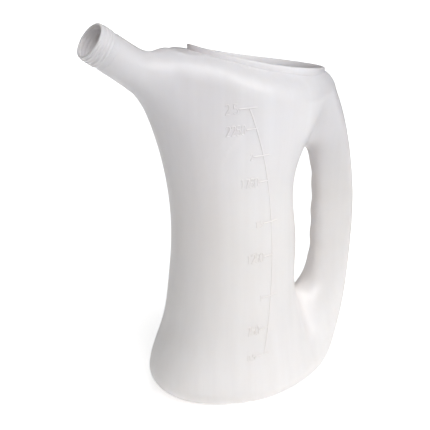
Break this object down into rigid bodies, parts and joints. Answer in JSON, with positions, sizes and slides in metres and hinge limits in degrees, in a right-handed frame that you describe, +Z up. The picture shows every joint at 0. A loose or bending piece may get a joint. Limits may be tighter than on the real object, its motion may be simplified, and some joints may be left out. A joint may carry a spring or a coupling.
{
  "type": "calf feeding bottle",
  "caption": "Waisted oval milk jug with a hollow loop handle, a slanting screw spout for a teat, a long oval filling opening with a low collar and a raised filling scale.",
  "frame": {"origin": "middle of the jug's box at the bottom of its standing ring", "axes": "+Z up, -X towards the spout, +X towards the handle, the filling scale on the -Y side"},
  "size_m": [0.263, 0.113, 0.3373],
  "materials": {
    "moulding": "natural translucent polyethylene with a satin moulded skin",
    "raised_marks": "the same polyethylene, raised from the wall"
  },
  "bodies": {
    "root": {"foot": "moulding", "base_shell": "moulding", "vessel_wall": "moulding", "shoulder": "moulding", "handle": "moulding", "spout": "moulding", "screw_neck": "moulding", "screw_thread": "moulding", "fill_collar": "moulding", "scale_line": "raised_marks", "scale_ticks": "raised_marks", "scale_numerals": "raised_marks"}
  },
  "joints": []
}
